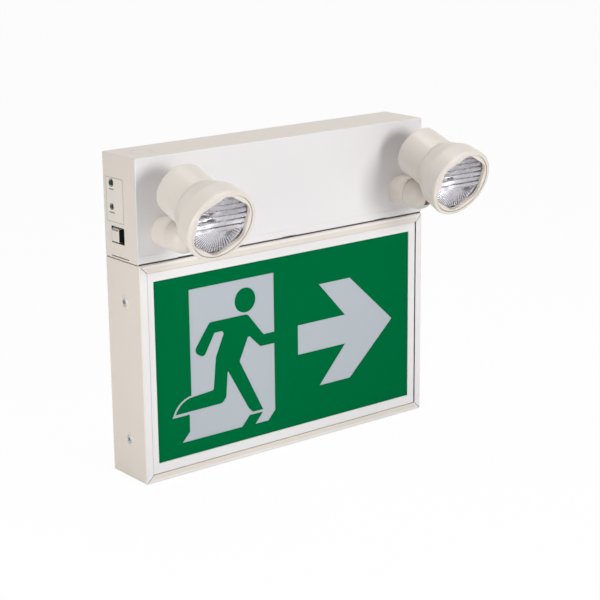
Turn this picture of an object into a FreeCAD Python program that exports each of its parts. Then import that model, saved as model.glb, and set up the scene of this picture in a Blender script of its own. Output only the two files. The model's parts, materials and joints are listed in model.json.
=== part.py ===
# Emergency exit light: a sheet-steel sign box with a battery box above it and two aimable lamps.
#
# Millimetres. X runs left to right as seen from the room, +Y points into the wall and +Z is up.
# The origin is the middle of the cable entry, on the face that lies against the wall.

import FreeCAD, Part
import math
import os

Vector = FreeCAD.Vector

# ---------------------------------------------------------------- driving dimensions
# Cabinet
width = 330.0
sign_height = 202.0
box_height = 94.0
depth = 52.0
sign_proud = 1.5
sheet = 1.0
corner_radius = 1.4
plate_edge_radius = 0.6
fit_gap = 0.3

# Openings in the cabinet's back and in the floor between the two boxes
wall_pitch_x = 240.0
wall_pitch_z = 150.0
wall_hole_radius = 2.6
cable_entry_radius = 11.1
harness_inset = 47.0
harness_radius = 6.0
joining_inset = 17.0
joining_screw_radius = 2.0

# Front of the sign box
lip_width = 7.5
right_lip_width = 6.0
right_gap = 2.5
mitre_cut = 0.35
face_recess = 0.4
window_margin_left = 6.2
window_margin_right = 8.5
window_margin_bottom = 9.4
window_margin_top = 8.2
artwork_window_width = 299.0
artwork_window_height = 168.8
runner_head_radius = 11.6
runner_head_x = -51.1
runner_head_height = 151.6
film_thickness = 0.4
diffuser_thickness = 2.5
tab_width = 12.0
tab_rise = 4.0
tab_insets = (50.0, 164.0, 277.5)

# Front cover of the battery box
cover_gap = 1.2
cover_flange = 3.2
score_width = 0.5
score_depth = 0.25
lower_score_height = 8.0
right_score_inset = 3.0
hook_slot_height = 1.8
hook_slot_lengths = (17.0, 12.0, 14.0)
hook_slot_reach = 9.0
notch_inset = 172.5
notch_size = 2.0

# Left side: label, indicators and test switch
label_back = 4.4
label_length = 27.6
label_top = 21.0
label_height = 40.0
label_thickness = 0.2
led_setback = 13.3
status_led_drop = 26.0
charge_led_drop = 47.4
status_led_radius = 2.5
charge_led_radius = 1.9
led_length = 8.0
led_flange = 0.7
led_clearance = 0.1
switch_back = 10.7
switch_length = 20.8
switch_drop = 64.5
switch_height = 15.0
switch_wall = 0.8
switch_pocket = 5.2
button_length = 11.6
button_height = 10.9
button_travel = 2.0
button_proud = 0.8
button_stem_radius = 2.0
running_clearance = 0.05
shoulder_height = 1.1
release_slot_back = 9.7
release_slot_length = 28.0
release_slot_height = 0.9
release_slot_lift = 2.0
knockout_radius = 10.0
knockout_inset = 24.0
knockout_groove = 0.5

# Sign box side screws
side_screw_heights = (37.0, 165.0)
side_screw_depth = 28.0
screw_radius = 2.0
screw_head_radius = 3.9
screw_length = 7.0
dimple_radius = 5.0
cross_length = 4.4
cross_width = 0.9
cross_depth = 1.1
rail_height = 168.0
rail_web = 24.0
rail_flange = 13.0
nut_flange_radius = 6.3
nut_across_flats = 7.0
nut_height = 3.2

# Lighting and electrical pieces
board_thickness = 1.6
strip_inset = 35.0
strip_height = 12.0
strip_offset_z = 44.0
strip_led_count = 9
strip_led_size = 3.4
strip_led_height = 1.4
driver_size = (70.0, 22.0, 30.0)
driver_left = 42.0
terminal_size = (34.0, 16.0, 18.0)
terminal_left = -72.0
battery_depth = 46.0
battery_height = 70.0
battery_gap_left = 4.0
battery_gap_right = 10.0
battery_terminal = 6.3
battery_edge = 1.5
blade_thickness = 0.8
strap_height = 16.0
strap_foot = 12.0
transformer_size = (42.0, 34.0, 38.0)
transformer_inset = 103.0
winding_bulge = 5.0
charger_size = (76.0, 60.0)
charger_inset = 37.0
charger_lift = 10.0
relay_size = (19.0, 15.0, 15.0)
relay_place = (8.0, 8.0)
capacitor_radius = 6.3
capacitor_height = 18.0
capacitor_place = (40.0, 18.0)
sink_size = (16.0, 12.0, 20.0)
sink_wall = 3.0
sink_place = (52.0, 10.0)
fuse_radius = 3.0
fuse_length = 20.0
fuse_place = (14.0, 48.0)
standoff_length = 6.0
standoff_radius = 2.5
standoff_inset = 5.0
indicator_board_width = 30.0
indicator_board_height = 74.0

# Lamp heads
lamp_inset = 28.5
lamp_height = 26.7
lamp_tilt = 21.0
collar_radius = 14.3
collar_length = 20.3
collar_edge = 0.8
seam_gap = 0.3
neck_radius = 11.5
neck_length = 9.0
neck_clearance = 0.1
lock_nut_flats = 28.0
lock_nut_thickness = 5.0
spigot_radius = 9.0
spigot_bore = 4.0
clip_groove = 0.8
clip_width = 1.2
clip_radius = 11.0
pivot_reach = 28.0
slot_width = 7.0
lug_width = 6.4
lug_thickness = 9.0
lug_boss_radius = 6.0
pin_radius = 1.5
pin_seat_clearance = 0.02
pin_cover = 2.4
saddle_gap = 0.4
slot_floor_drop = 9.5

# Lamp shells, measured back from the rim along the lamp's axis
lamp_wall = 2.0
rim_radius = 33.2
bell_radius = 33.8
rim_edge = 1.0
bell_straight = 20.0
bell_end = 33.7
bell_end_radius = 26.2
neck_overlap = 7.0
cup_radius = 24.2
cup_front_radius = 25.2
cup_end = 67.0
cup_edge = 3.5
pivot_station = 48.0
notch_width = 4.5
notch_length = 3.0
notch_depth = 0.8
ring_outer_radius = 29.8
opening_corner = 28.5
opening_round = 8.0
ring_recess = 0.5
ring_thickness = 3.4
ring_edge = 0.4
shelf_width = 1.6
rim_groove = 0.4
lens_thickness = 2.0
lens_rise = 1.2
flute_pitch = 5.4
flute_depth = 0.6
flute_drop = 7.5
rib_count = 29
rib_depth = 0.6
reflector_wall = 0.8
reflector_mouth = 27.4
reflector_depth = 24.0
reflector_hole = 6.2
bulb_radius = 4.2
bulb_length = 14.0
bulb_base_radius = 5.4
bulb_base_length = 7.0
socket_radius = 8.0
socket_length = 12.0

# ---------------------------------------------------------------- planes worked out from them
left_face = -width / 2
right_face = width / 2
bottom = -sign_height / 2
seam = bottom + sign_height
top = seam + box_height
cover_front = -depth
cover_back = cover_front + sheet
sign_front = cover_front - sign_proud
face_front = sign_front + face_recess
face_back = face_front + sheet
film_back = face_back + film_thickness
diffuser_back = film_back + diffuser_thickness
face_left = left_face + lip_width + fit_gap
face_right = right_face - right_lip_width - right_gap
face_low = bottom + lip_width + fit_gap
face_high = seam - lip_width - fit_gap
back_inner = -sheet
floor_inner = seam + sheet
window_left = face_left + window_margin_left
window_right = face_right - window_margin_right
window_low = face_low + window_margin_bottom
window_high = face_high - window_margin_top
artwork_scale = min((window_right - window_left) / artwork_window_width,
                    (window_high - window_low) / artwork_window_height)
charger_left = left_face + charger_inset
transformer_left = right_face - transformer_inset
battery_left = charger_left + charger_size[0] + battery_gap_left
battery_length = transformer_left - battery_gap_right - battery_left
lamp_x = width / 2 - lamp_inset
lamp_z = seam + lamp_height
harness_x = width / 2 - harness_inset
joining_x = width / 2 - joining_inset
strip_length = width - 2 * strip_inset
tab_places = [left_face + inset for inset in tab_insets]
collar_end = cover_front - collar_length
pivot_y = cover_front - pivot_reach
axis_rise = collar_radius + saddle_gap + cup_radius
lens_seat = ring_recess + ring_thickness + lens_thickness
switch_low = top - switch_drop - switch_height
indicator_plane = left_face + sheet + led_length


# ---------------------------------------------------------------- basic shapes
def block(x0, x1, y0, y1, z0, z1):
    """Box between two opposite corners."""
    return Part.makeBox(x1 - x0, y1 - y0, z1 - z0, Vector(x0, y0, z0))


def rod_x(x0, x1, y, z, radius):
    """Round bar along X."""
    return Part.makeCylinder(radius, x1 - x0, Vector(x0, y, z), Vector(1, 0, 0))


def rod_y(x, y0, y1, z, radius):
    """Round bar along Y."""
    return Part.makeCylinder(radius, y1 - y0, Vector(x, y0, z), Vector(0, 1, 0))


def rod_z(x, y, z0, z1, radius):
    """Round bar along Z."""
    return Part.makeCylinder(radius, z1 - z0, Vector(x, y, z0), Vector(0, 0, 1))


def hex_bar(centre, direction, flats, length):
    """Hexagonal bar that starts at centre and runs along direction."""
    points = []
    for step in range(7):
        turn = math.radians(60 * step)
        points.append(Vector(math.cos(turn), math.sin(turn), 0) * (flats / math.sqrt(3)))
    bar = Part.Face(Part.makePolygon(points)).extrude(Vector(0, 0, length))
    bar.Placement = FreeCAD.Placement(centre, FreeCAD.Rotation(Vector(0, 0, 1), direction))
    return bar


def outline(corners, place):
    """Closed wire through corners (u, v, radius). A corner with a radius is a tangent arc."""
    points = [Vector(u, v, 0) for u, v, radius in corners]
    count = len(points)
    arrive, leave, middle = [], [], []
    for index, (u, v, radius) in enumerate(corners):
        here = points[index]
        if not radius:
            arrive.append(here)
            leave.append(here)
            middle.append(None)
            continue
        back = (points[index - 1] - here).normalize()
        ahead = (points[(index + 1) % count] - here).normalize()
        half = back.getAngle(ahead) / 2
        reach = radius / math.tan(half)
        arrive.append(here + back * reach)
        leave.append(here + ahead * reach)
        middle.append(here + (back + ahead).normalize() * (radius / math.sin(half) - radius))
    edges = []
    for index in range(count):
        if middle[index]:
            arc = Part.Arc(place(arrive[index]), place(middle[index]), place(leave[index]))
            edges.append(arc.toShape())
        start = place(leave[index])
        end = place(arrive[(index + 1) % count])
        if start.distanceToPoint(end) > 1e-6:
            edges.append(Part.makeLine(start, end))
    return Part.Wire(edges)


def turned(profile, x, z):
    """Solid of revolution about the line along Y through (x, z). The profile is (y, radius, round)."""
    face = Part.Face(outline(profile, lambda p: Vector(x, p.x, z + p.y)))
    return face.revolve(Vector(x, 0, z), Vector(0, 1, 0), 360)


def cut_from_sheet(corners, y0, thickness):
    """Flat piece with the outline (x, z, round), lying in the XZ plane."""
    face = Part.Face(outline(corners, lambda p: Vector(p.x, y0, p.y)))
    return face.extrude(Vector(0, thickness, 0))


def rounded_box(x0, x1, y0, y1, z0, z1, radius, keep_sharp):
    """Box with rounded edges, apart from the edges that lie wholly in the planes y = keep_sharp."""
    body = block(x0, x1, y0, y1, z0, z1)
    edges = []
    for edge in body.Edges:
        levels = {round(vertex.Y, 4) for vertex in edge.Vertexes}
        if len(levels) == 1 and levels.pop() in [round(level, 4) for level in keep_sharp]:
            continue
        edges.append(edge)
    return body.makeFillet(radius, edges)


def group(solids):
    return Part.makeCompound(list(solids))


# ---------------------------------------------------------------- fasteners
def countersunk_screw(face_x, inward, z):
    """Cross-head screw in a side wall. Its flat head lies flush with face_x and points along inward."""
    y = -side_screw_depth
    direction = Vector(inward, 0, 0)
    head_height = screw_head_radius - screw_radius
    head = Part.makeCone(screw_head_radius, screw_radius, head_height, Vector(face_x, y, z), direction)
    shank = Part.makeCylinder(screw_radius, screw_length, Vector(face_x, y, z), direction)
    screw = head.fuse(shank)
    half, thin = cross_length / 2, cross_width / 2
    x0, x1 = sorted((face_x, face_x + inward * cross_depth))
    upright = block(x0, x1, y - thin, y + thin, z - half, z + half)
    level = block(x0, x1, y - half, y + half, z - thin, z + thin)
    return screw.cut(upright.fuse(level)).removeSplitter()


def flange_nut(face_x, inward, z):
    """Nut with a washer flange that bears on the rail inside the side wall."""
    y = -side_screw_depth
    direction = Vector(inward, 0, 0)
    flange = Part.makeCylinder(nut_flange_radius, sheet, Vector(face_x, y, z), direction)
    body = hex_bar(Vector(face_x, y, z), direction, nut_across_flats, nut_height)
    bore = Part.makeCylinder(screw_radius, nut_height + sheet, Vector(face_x, y, z), direction)
    return flange.fuse(body).cut(bore).removeSplitter()


def each_side_screw():
    """Wall face, direction into the box and height of each of the four side screws."""
    for face_x, inward in ((left_face, 1), (right_face, -1)):
        for height in side_screw_heights:
            yield face_x, inward, bottom + height


def side_screws():
    return group(countersunk_screw(*place) for place in each_side_screw())


def side_nuts():
    nuts = []
    for face_x, inward, z in each_side_screw():
        nuts.append(flange_nut(face_x + inward * 2 * sheet, inward, z))
    return group(nuts)


def joining_screws():
    """Two pan-head screws that hold the battery box to the sign box, driven from below."""
    screws = []
    for x in (-joining_x, joining_x):
        under = seam - sheet
        head = rod_z(x, -depth / 2, under - 2.4, under, 2 * joining_screw_radius)
        shank = rod_z(x, -depth / 2, under, floor_inner + nut_height + 1, joining_screw_radius)
        screws.append(head.fuse(shank).removeSplitter())
    return group(screws)


def joining_nuts():
    nuts = []
    for x in (-joining_x, joining_x):
        body = hex_bar(Vector(x, -depth / 2, floor_inner), Vector(0, 0, 1), nut_across_flats, nut_height)
        bore = rod_z(x, -depth / 2, floor_inner, floor_inner + nut_height, joining_screw_radius)
        nuts.append(body.cut(bore))
    return group(nuts)


def floor_openings(z0, z1):
    """Screw holes and the harness hole through the two sheets between the boxes."""
    tools = [rod_z(harness_x, -depth / 2, z0, z1, harness_radius)]
    for x in (-joining_x, joining_x):
        tools.append(rod_z(x, -depth / 2, z0, z1, joining_screw_radius))
    return tools


# ---------------------------------------------------------------- sign box
def lip_opening():
    """The hole that the four turned-in lips leave at the front of the sign box."""
    return block(left_face + lip_width, right_face - right_lip_width, sign_front - 1, sign_front + sheet + 1,
                 bottom + lip_width, seam - lip_width)


def mitre(x, z, out_x, out_z):
    """Saw cut between two lips, from the opening's corner at (x, z) towards the box corner."""
    length = 1.25 * lip_width
    cut = block(-mitre_cut, length, sign_front - 1, sign_front + sheet, -mitre_cut / 2, mitre_cut / 2)
    turn = math.degrees(math.atan2(out_z, out_x))
    cut.rotate(Vector(0, 0, 0), Vector(0, 1, 0), -turn)
    cut.translate(Vector(x, 0, z))
    return cut


def sign_housing():
    """One folded sheet: back, four walls and four turned-in lips with mitred corners."""
    body = rounded_box(left_face, right_face, sign_front, 0, bottom, seam, corner_radius, (0.0,))
    hollow = block(left_face + sheet, right_face - sheet, sign_front + sheet, back_inner,
                   bottom + sheet, seam - sheet)
    body = body.cut(hollow)
    for face_x, inward, z in each_side_screw():
        inner = Vector(face_x + inward * sheet, -side_screw_depth, z)
        dimple = Part.makeCone(dimple_radius, dimple_radius - sheet / 2, sheet, inner, Vector(inward, 0, 0))
        body = body.fuse(dimple)
    tools = [lip_opening(), rod_y(0, back_inner - 1, 1, 0, cable_entry_radius)]
    for x in (-wall_pitch_x / 2, wall_pitch_x / 2):
        for z in (-wall_pitch_z / 2, wall_pitch_z / 2):
            tools.append(rod_y(x, back_inner - 1, 1, z, wall_hole_radius))
    for face_x, inward, z in each_side_screw():
        mouth = Vector(face_x, -side_screw_depth, z)
        sink = screw_head_radius - screw_radius
        tools.append(Part.makeCone(screw_head_radius, screw_radius, sink, mouth, Vector(inward, 0, 0)))
        tools.append(Part.makeCylinder(screw_radius, 3 * sheet, mouth, Vector(inward, 0, 0)))
    inner_left = left_face + lip_width
    inner_right = right_face - right_lip_width
    tools.append(mitre(inner_left, seam - lip_width, -1, 1))
    tools.append(mitre(inner_left, bottom + lip_width, -1, -1))
    tools.append(mitre(inner_right, bottom + lip_width, 1, -1))
    tools += floor_openings(seam - sheet - 1, seam + 1)
    return body.cut(tools).removeSplitter()


def face_plate():
    """Bezel round the legend: a shallow tray with hook tabs behind the top and bottom lips."""
    plate = rounded_box(face_left, face_right, face_front, face_back, face_low, face_high,
                        plate_edge_radius, (face_back,))
    window = block(window_left, window_right, face_front - 1, face_back + 1, window_low, window_high)
    parts = []
    for x0 in (face_left, face_right - sheet):
        parts.append(block(x0, x0 + sheet, face_back, diffuser_back, face_low, face_high))
    for x in tab_places:
        x0, x1 = x - tab_width / 2, x + tab_width / 2
        tongue_front = max(face_back, sign_front + sheet + fit_gap)
        tongue_back = tongue_front + sheet
        for edge, out in ((face_high, 1), (face_low, -1)):
            root0, root1 = sorted((edge, edge - out * sheet))
            parts.append(block(x0, x1, face_back, tongue_back, root0, root1))
            tip0, tip1 = sorted((edge - out * sheet, edge + out * tab_rise))
            parts.append(block(x0, x1, tongue_front, tongue_back, tip0, tip1))
    return plate.cut(window).fuse(parts).removeSplitter()


def panel_edges():
    """Left, right, bottom and top edges of the film and the diffuser, inside the tray."""
    side = sheet + fit_gap
    return face_left + side, face_right - side, face_low + side, face_high - side


def arrow():
    """Arrow pointing right, as (x, z, round) from the sign box's bottom centre line."""
    return [(9.75, 86.8, 0), (67.5, 86.8, 0), (35.5, 51.1, 0), (73.75, 51.1, 0), (127.5, 101.3, 0),
            (73.75, 151.6, 0), (35.5, 151.6, 0), (67.5, 115.9, 0), (9.75, 115.9, 0)]


def doorway():
    """Doorway with the broken ground line under the runner's feet."""
    return [(-113.25, 171.9, 0), (-18.0, 171.9, 0), (-18.0, 38.5, 0), (-26.25, 29.7, 0), (-41.75, 29.7, 0),
            (-33.0, 39.8, 0), (-48.0, 39.8, 0), (-56.75, 30.2, 0), (-124.5, 30.2, 0), (-115.75, 39.3, 0),
            (-115.75, 55.5, 0), (-134.6, 55.4, 0.3), (-127.7, 70.6, 24), (-113.25, 73.2, 0)]


def runner():
    """Running figure without the head. Its leading arm joins the surround at the doorway's edge."""
    return [(-48.75, 137.7, 5), (-91.25, 137.7, 4), (-109.4, 113.0, 5), (-98.5, 106.2, 4),
            (-86.25, 127.2, 2), (-74.25, 127.2, 3), (-85.0, 103.8, 4), (-88.25, 73.0, 2), (-124.1, 70.3, 22),
            (-130.7, 58.2, 0), (-79.0, 58.6, 5), (-74.6, 63.5, 3), (-72.3, 88.8, 0.6), (-48.75, 46.8, 3),
            (-44.2, 42.5, 0), (-32.5, 42.3, 0), (-58.75, 94.5, 3), (-48.0, 117.7, 2), (-34.5, 104.3, 4),
            (-14.0, 104.3, 0), (-14.0, 115.1, 0), (-30.6, 115.1, 3)]


def legend_film():
    """Green film with the doorway and the arrow cut out. The runner is left standing in the doorway."""
    x0, x1, z0, z1 = panel_edges()
    film = block(x0, x1, face_back, film_back, z0, z1)

    def cutter(corners):
        drawn = [(x * artwork_scale, bottom + z * artwork_scale, radius * artwork_scale)
                 for x, z, radius in corners]
        return cut_from_sheet(drawn, face_back - 1, film_thickness + 2)

    door = cutter(doorway()).cut(cutter(runner()))
    head = rod_y(runner_head_x * artwork_scale, face_back, film_back,
                 bottom + runner_head_height * artwork_scale, runner_head_radius * artwork_scale)
    film = film.cut([door, cutter(arrow())])
    return group(film.Solids + [head])


def diffuser_panel():
    x0, x1, z0, z1 = panel_edges()
    return block(x0, x1, film_back, diffuser_back, z0, z1)


def panel_rail(face_x, inward):
    """Angle screwed to a side wall. Its front flange backs the diffuser."""
    wall = face_x + inward * sheet
    middle = (bottom + seam) / 2
    z0, z1 = middle - rail_height / 2, middle + rail_height / 2
    x0, x1 = sorted((wall, wall + inward * sheet))
    web = block(x0, x1, diffuser_back, diffuser_back + rail_web, z0, z1)
    x0, x1 = sorted((wall, wall + inward * rail_flange))
    flange = block(x0, x1, diffuser_back, diffuser_back + sheet, z0, z1)
    rail = web.fuse(flange).removeSplitter()
    for height in side_screw_heights:
        rail = rail.cut(rod_x(wall - 2 * sheet, wall + 2 * sheet, -side_screw_depth, bottom + height,
                              dimple_radius + led_clearance))
    return rail


def light_strips():
    """Two bare boards on the back wall, above and below the cable entry."""
    boards = []
    for z in (-strip_offset_z, strip_offset_z):
        boards.append(block(-strip_length / 2, strip_length / 2, back_inner - board_thickness, back_inner,
                            z - strip_height / 2, z + strip_height / 2))
    return group(boards)


def strip_leds():
    chips = []
    front = back_inner - board_thickness - strip_led_height
    pitch = strip_length / strip_led_count
    half = strip_led_size / 2
    for z in (-strip_offset_z, strip_offset_z):
        for index in range(strip_led_count):
            x = (index + 0.5) * pitch - strip_length / 2
            chips.append(block(x - half, x + half, front, front + strip_led_height, z - half, z + half))
    return group(chips)


def sign_driver():
    """Potted driver for the light strips, fixed to the back wall beside the cable entry."""
    length, thick, high = driver_size
    return rounded_box(driver_left, driver_left + length, back_inner - thick, back_inner,
                       -high / 2, high / 2, 1.5, (back_inner,))


def mains_terminal():
    """Three-pole terminal block for the supply, with its screw wells."""
    length, thick, high = terminal_size
    front = back_inner - thick
    body = block(terminal_left, terminal_left + length, front, back_inner, -high / 2, high / 2)
    wells = []
    for pole in range(3):
        x = terminal_left + (pole + 0.5) * length / 3
        for z in (-high / 4, high / 4):
            wells.append(rod_y(x, front - 1, front + thick / 2, z, 2.0))
    return body.cut(wells)


# ---------------------------------------------------------------- battery box
def hook_slots():
    """Three slots along the joint between the boxes, where the cover hooks in."""
    tools = []
    for x, length in zip(tab_places, hook_slot_lengths):
        tools.append(block(x - length / 2, x + length / 2, cover_front - 1, cover_back + hook_slot_reach,
                           seam, seam + hook_slot_height))
    return tools


def upper_housing():
    """Folded box for the battery and the charger, open at the front."""
    body = rounded_box(left_face, right_face, cover_back, 0, seam, top, corner_radius, (0.0, cover_back))
    hollow = block(left_face + sheet, right_face - sheet, cover_back - 1, back_inner,
                   floor_inner, top - sheet)
    outside = left_face - 1
    inside = left_face + sheet + 1
    tools = [hollow]
    for radius, drop in ((status_led_radius, status_led_drop), (charge_led_radius, charge_led_drop)):
        tools.append(rod_x(outside, inside, -led_setback, top - drop, radius + led_clearance))
    tools.append(block(outside, inside, -switch_back - switch_length, -switch_back,
                       switch_low, switch_low + switch_height))
    slot_low = seam + release_slot_lift
    tools.append(block(outside, inside, -release_slot_back - release_slot_length, -release_slot_back,
                       slot_low, slot_low + release_slot_height))
    knockout_x = left_face + knockout_inset
    ring = rod_z(knockout_x, -depth / 2, top - score_depth, top + 1, knockout_radius)
    ring = ring.cut(rod_z(knockout_x, -depth / 2, top - 1, top + 2, knockout_radius - knockout_groove))
    tools.append(ring)
    tools += floor_openings(seam - 1, floor_inner + 1)
    tools += hook_slots()
    return body.cut(tools).removeSplitter()


def front_cover():
    """White cover of the battery box, with a flange that slips inside the housing's walls."""
    low = seam + cover_gap
    plate = rounded_box(left_face, right_face, cover_front, cover_back, low, top,
                        plate_edge_radius, (cover_back,))
    slip = sheet + fit_gap
    outer = block(left_face + slip, right_face - slip, cover_back, cover_back + cover_flange,
                  floor_inner + fit_gap, top - slip)
    inner = block(left_face + slip + sheet, right_face - slip - sheet, cover_back - 1,
                  cover_back + cover_flange + 1, floor_inner + fit_gap + sheet, top - slip - sheet)
    body = plate.fuse(outer.cut(inner))
    tools = hook_slots()
    for x in (-lamp_x, lamp_x):
        tools.append(rod_y(x, cover_front - 1, cover_back + 1, lamp_z, neck_radius + neck_clearance))
    groove = cover_front + score_depth
    z = seam + lower_score_height
    x = right_face - right_score_inset
    tools.append(block(left_face - 1, x, cover_front - 1, groove, z, z + score_width))
    tools.append(block(x, x + score_width, cover_front - 1, groove, low - 1, top + 1))
    notch_x = left_face + notch_inset
    tools.append(cut_from_sheet([(notch_x - notch_size, low - notch_size, 0), (notch_x, low + notch_size, 0),
                                 (notch_x + notch_size, low - notch_size, 0)], cover_front - 1, sheet + 1))
    return body.cut(tools).removeSplitter()


def cable_grommet():
    """Rubber bush in the harness hole, with a lip on each side of the two sheets."""
    lip = 1.5
    y = -depth / 2
    stem = rod_z(harness_x, y, seam - sheet - lip, floor_inner + lip, harness_radius)
    for z0 in (seam - sheet - lip, floor_inner):
        stem = stem.fuse(rod_z(harness_x, y, z0, z0 + lip, harness_radius + lip))
    return stem.cut(rod_z(harness_x, y, seam - 9, seam + 9, harness_radius - lip)).removeSplitter()


def battery():
    """Sealed battery standing on the box floor, with two blade terminals."""
    back = back_inner - fit_gap
    middle = back - battery_depth / 2
    lid = floor_inner + battery_height
    case = rounded_box(battery_left, battery_left + battery_length, back - battery_depth, back,
                       floor_inner, lid, battery_edge, ())
    blades = []
    for share in (0.15, 0.85):
        x = battery_left + share * battery_length
        blades.append(block(x, x + battery_terminal, middle, middle + blade_thickness,
                            lid, lid + battery_terminal))
    return case.fuse(blades)


def battery_strap():
    """Steel strap round the battery's front, with two feet on the back wall."""
    x0 = battery_left - fit_gap
    x1 = battery_left + battery_length + fit_gap
    front = back_inner - battery_depth - 2 * fit_gap
    z0 = floor_inner + battery_height / 2 - strap_height / 2
    z1 = z0 + strap_height
    outer = block(x0 - sheet, x1 + sheet, front - sheet, back_inner, z0, z1)
    loop = outer.cut(block(x0, x1, front, back_inner + 1, z0 - 1, z1 + 1))
    feet = [block(x0 - strap_foot, x0 - sheet, back_inner - sheet, back_inner, z0, z1),
            block(x1 + sheet, x1 + strap_foot, back_inner - sheet, back_inner, z0, z1)]
    return loop.fuse(feet).removeSplitter()


def transformer():
    """Laminated core with its winding, standing on the box floor."""
    length, thick, high = transformer_size
    middle = -depth / 2
    x0, x1 = transformer_left, transformer_left + length
    core = block(x0, x1, middle - thick / 4, middle + thick / 4, floor_inner, floor_inner + high)
    inset = length / 5
    winding = rounded_box(x0 + inset, x1 - inset, middle - thick / 4 - winding_bulge,
                          middle + thick / 4 + winding_bulge, floor_inner + inset,
                          floor_inner + high - inset, 2.0, ())
    return core.fuse(winding).removeSplitter()


def charger_place():
    """Left, right, low and high edges of the charger board and its rear face."""
    long, high = charger_size
    z0 = floor_inner + charger_lift
    return charger_left, charger_left + long, z0, z0 + high, back_inner - standoff_length


def charger_board():
    x0, x1, z0, z1, back = charger_place()
    return block(x0, x1, back - board_thickness, back, z0, z1)


def charger_components():
    """Relay, capacitor, heat sink and fuse on the charger board."""
    x0, x1, z0, z1, back = charger_place()
    face = back - board_thickness
    length, thick, high = relay_size
    x, z = x0 + relay_place[0], z0 + relay_place[1]
    relay = block(x, x + length, face - thick, face, z, z + high)
    capacitor = rod_y(x0 + capacitor_place[0], face - capacitor_height, face, z0 + capacitor_place[1],
                      capacitor_radius)
    length, thick, high = sink_size
    x, z = x0 + sink_place[0], z0 + sink_place[1]
    sink = block(x, x + length, face - thick, face, z, z + sink_wall)
    sink = sink.fuse(block(x, x + sink_wall, face - thick, face, z, z + high)).removeSplitter()
    x, z = x0 + fuse_place[0], z0 + fuse_place[1]
    fuse_link = rod_x(x, x + fuse_length, face - fuse_radius, z, fuse_radius)
    return group([relay, capacitor, sink, fuse_link])


def board_standoffs():
    """Four pillars under the charger board and two that carry the indicator board."""
    x0, x1, z0, z1, back = charger_place()
    pillars = []
    for x in (x0 + standoff_inset, x1 - standoff_inset):
        for z in (z0 + standoff_inset, z1 - standoff_inset):
            pillars.append(rod_y(x, back, back_inner, z, standoff_radius))
    y = -switch_back - indicator_board_width + 2 * standoff_inset
    for z in (switch_low + switch_height + standoff_inset, top - 2 * standoff_inset):
        pillars.append(rod_x(left_face + sheet, indicator_plane, y, z, standoff_radius))
    return group(pillars)


def indicator_board():
    """Upright board behind the left wall that carries both indicators and the switch."""
    z1 = top - standoff_inset
    y1 = -standoff_inset - standoff_radius
    return block(indicator_plane, indicator_plane + board_thickness, y1 - indicator_board_width, y1,
                 z1 - indicator_board_height, z1)


def indicator(radius, drop):
    """Round indicator: a domed lens through the wall, a flange behind it and a body on the board."""
    z = top - drop
    y = -led_setback
    dome = left_face - label_thickness - radius * 0.6
    shaft = rod_x(dome + radius, indicator_plane, y, z, radius)
    cap = Part.makeSphere(radius, Vector(dome + radius, y, z))
    flange = rod_x(left_face + sheet, left_face + sheet + led_flange, y, z, radius + 0.5)
    return shaft.fuse([cap, flange]).removeSplitter()


def indicator_label():
    """Thin plate round the two indicators."""
    z1 = top - label_top
    plate = block(left_face - label_thickness, left_face, -label_back - label_length, -label_back,
                  z1 - label_height, z1)
    holes = []
    for radius, drop in ((status_led_radius, status_led_drop), (charge_led_radius, charge_led_drop)):
        holes.append(rod_x(left_face - 1, left_face + 1, -led_setback, top - drop, radius + led_clearance))
    return plate.cut(holes)


def button_bounds():
    """Rear edge, front edge, lower edge and upper edge of the push button in its pocket."""
    y1 = -switch_back - led_clearance - switch_wall - fit_gap
    z0 = switch_low + led_clearance + switch_wall + fit_gap
    return y1 - button_length, y1, z0, z0 + button_height


def test_switch_body():
    """Black switch housing that fills the cut-out. The button runs at the rear of its pocket."""
    y0, y1, z0, z1 = button_bounds()
    gap = led_clearance
    case = block(left_face + gap, indicator_plane, -switch_back - switch_length + gap, -switch_back - gap,
                 switch_low + gap, switch_low + switch_height - gap)
    inset = gap + switch_wall
    pocket = block(left_face, left_face + switch_pocket, -switch_back - switch_length + inset,
                   -switch_back - inset, switch_low + inset, switch_low + switch_height - inset)
    guide = rod_x(left_face, indicator_plane, (y0 + y1) / 2, (z0 + z1) / 2,
                  button_stem_radius + running_clearance)
    return case.cut([pocket, guide]).removeSplitter()


def test_button():
    """Push button with a stepped top edge, guided by its round stem."""
    y0, y1, z0, z1 = button_bounds()
    outer = left_face - button_proud
    inner = left_face + switch_pocket - button_travel - fit_gap
    cap = rounded_box(outer, inner, y0, y1, z0, z1, plate_edge_radius, ())
    ledge = block(left_face + fit_gap, inner, y0, y1, z1 - 1, z1 + shoulder_height)
    stem = rod_x(inner - 1, indicator_plane - button_travel - fit_gap, (y0 + y1) / 2, (z0 + z1) / 2,
                 button_stem_radius)
    return cap.fuse([ledge, stem]).removeSplitter()


# ---------------------------------------------------------------- lamp mounting
def collar(x):
    """Bush that stands on the cover. Its neck passes through and takes the lock nut."""
    inner = cover_front + sheet + neck_length
    profile = [(collar_end, spigot_radius + running_clearance, 0), (collar_end, collar_radius, collar_edge),
               (cover_front, collar_radius, 0), (cover_front, neck_radius, 0), (inner, neck_radius, 0),
               (inner, spigot_radius + running_clearance, 0)]
    return turned(profile, x, lamp_z)


def lock_nut(x):
    nut = hex_bar(Vector(x, cover_back, lamp_z), Vector(0, 1, 0), lock_nut_flats, lock_nut_thickness)
    return nut.cut(rod_y(x, cover_back, cover_back + lock_nut_thickness, lamp_z, neck_radius))


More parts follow.
